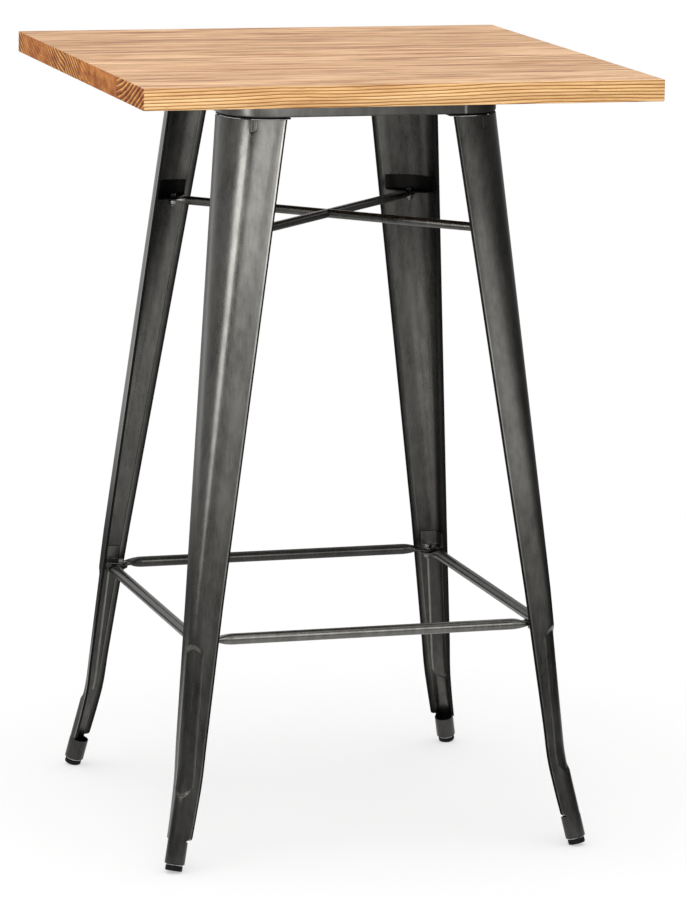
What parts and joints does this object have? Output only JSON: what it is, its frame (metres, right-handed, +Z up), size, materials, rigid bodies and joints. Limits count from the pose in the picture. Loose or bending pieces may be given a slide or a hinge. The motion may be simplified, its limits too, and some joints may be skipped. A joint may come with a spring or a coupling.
{
  "type": "bar table",
  "caption": "Bar-height table: a square wooden top on a steel apron ring and splayed folded-sheet legs, with crossed brace tubes and a tubular footrest.",
  "frame": {"origin": "on the floor, under the middle of the top", "axes": "+Z up from the floor; +X along the grain of the top; the picture is taken from the -Y side"},
  "size_m": [0.7, 0.7, 1.045],
  "materials": {
    "wood_top": "satin lacquer",
    "gunmetal_steel": "semi-gloss gunmetal lacquer",
    "black_steel": "satin black",
    "zinc_steel": "bright zinc",
    "black_rubber": "matte"
  },
  "bodies": {
    "root": {"apron_ring": "gunmetal_steel", "brace_bolt_back_left": "zinc_steel", "brace_bolt_back_right": "zinc_steel", "brace_bolt_front_left": "zinc_steel", "brace_bolt_front_right": "zinc_steel", "brace_bracket_back_left": "black_steel", "brace_bracket_back_right": "black_steel", "brace_bracket_front_left": "black_steel", "brace_bracket_front_right": "black_steel", "brace_half_back_right": "gunmetal_steel", "brace_half_front_left": "gunmetal_steel", "brace_nut_back_left": "zinc_steel", "brace_nut_back_right": "zinc_steel", "brace_nut_front_left": "zinc_steel", "brace_nut_front_right": "zinc_steel", "brace_tube_through": "gunmetal_steel", "foot_ring_back_left": "zinc_steel", "foot_ring_back_right": "zinc_steel", "foot_ring_front_left": "zinc_steel", "foot_ring_front_right": "zinc_steel", "foot_socket_back_left": "gunmetal_steel", "foot_socket_back_right": "gunmetal_steel", "foot_socket_front_left": "gunmetal_steel", "foot_socket_front_right": "gunmetal_steel", "footrest_rail_front": "gunmetal_steel", "footrest_rail_left": "gunmetal_steel", "footrest_rail_rear": "gunmetal_steel", "footrest_rail_right": "gunmetal_steel", "leg_back_left": "gunmetal_steel", "leg_back_right": "gunmetal_steel", "leg_front_left": "gunmetal_steel", "leg_front_right": "gunmetal_steel", "leg_screw_back_left": "zinc_steel", "leg_screw_back_right": "zinc_steel", "leg_screw_front_left": "zinc_steel", "leg_screw_front_right": "zinc_steel", "leg_top_plate_back_left": "black_steel", "leg_top_plate_back_right": "black_steel", "leg_top_plate_front_left": "black_steel", "leg_top_plate_front_right": "black_steel", "rail_bolt_back_left": "zinc_steel", "rail_bolt_back_right": "zinc_steel", "rail_bolt_front_left": "zinc_steel", "rail_bolt_front_right": "zinc_steel", "rail_bracket_back_left": "gunmetal_steel", "rail_bracket_back_right": "gunmetal_steel", "rail_bracket_front_left": "gunmetal_steel", "rail_bracket_front_right": "gunmetal_steel", "rail_nut_back_left": "zinc_steel", "rail_nut_back_right": "zinc_steel", "rail_nut_front_left": "zinc_steel", "rail_nut_front_right": "zinc_steel", "rubber_foot_back_left": "black_rubber", "rubber_foot_back_right": "black_rubber", "rubber_foot_front_left": "black_rubber", "rubber_foot_front_right": "black_rubber", "top_panel": "wood_top"}
  },
  "joints": []
}
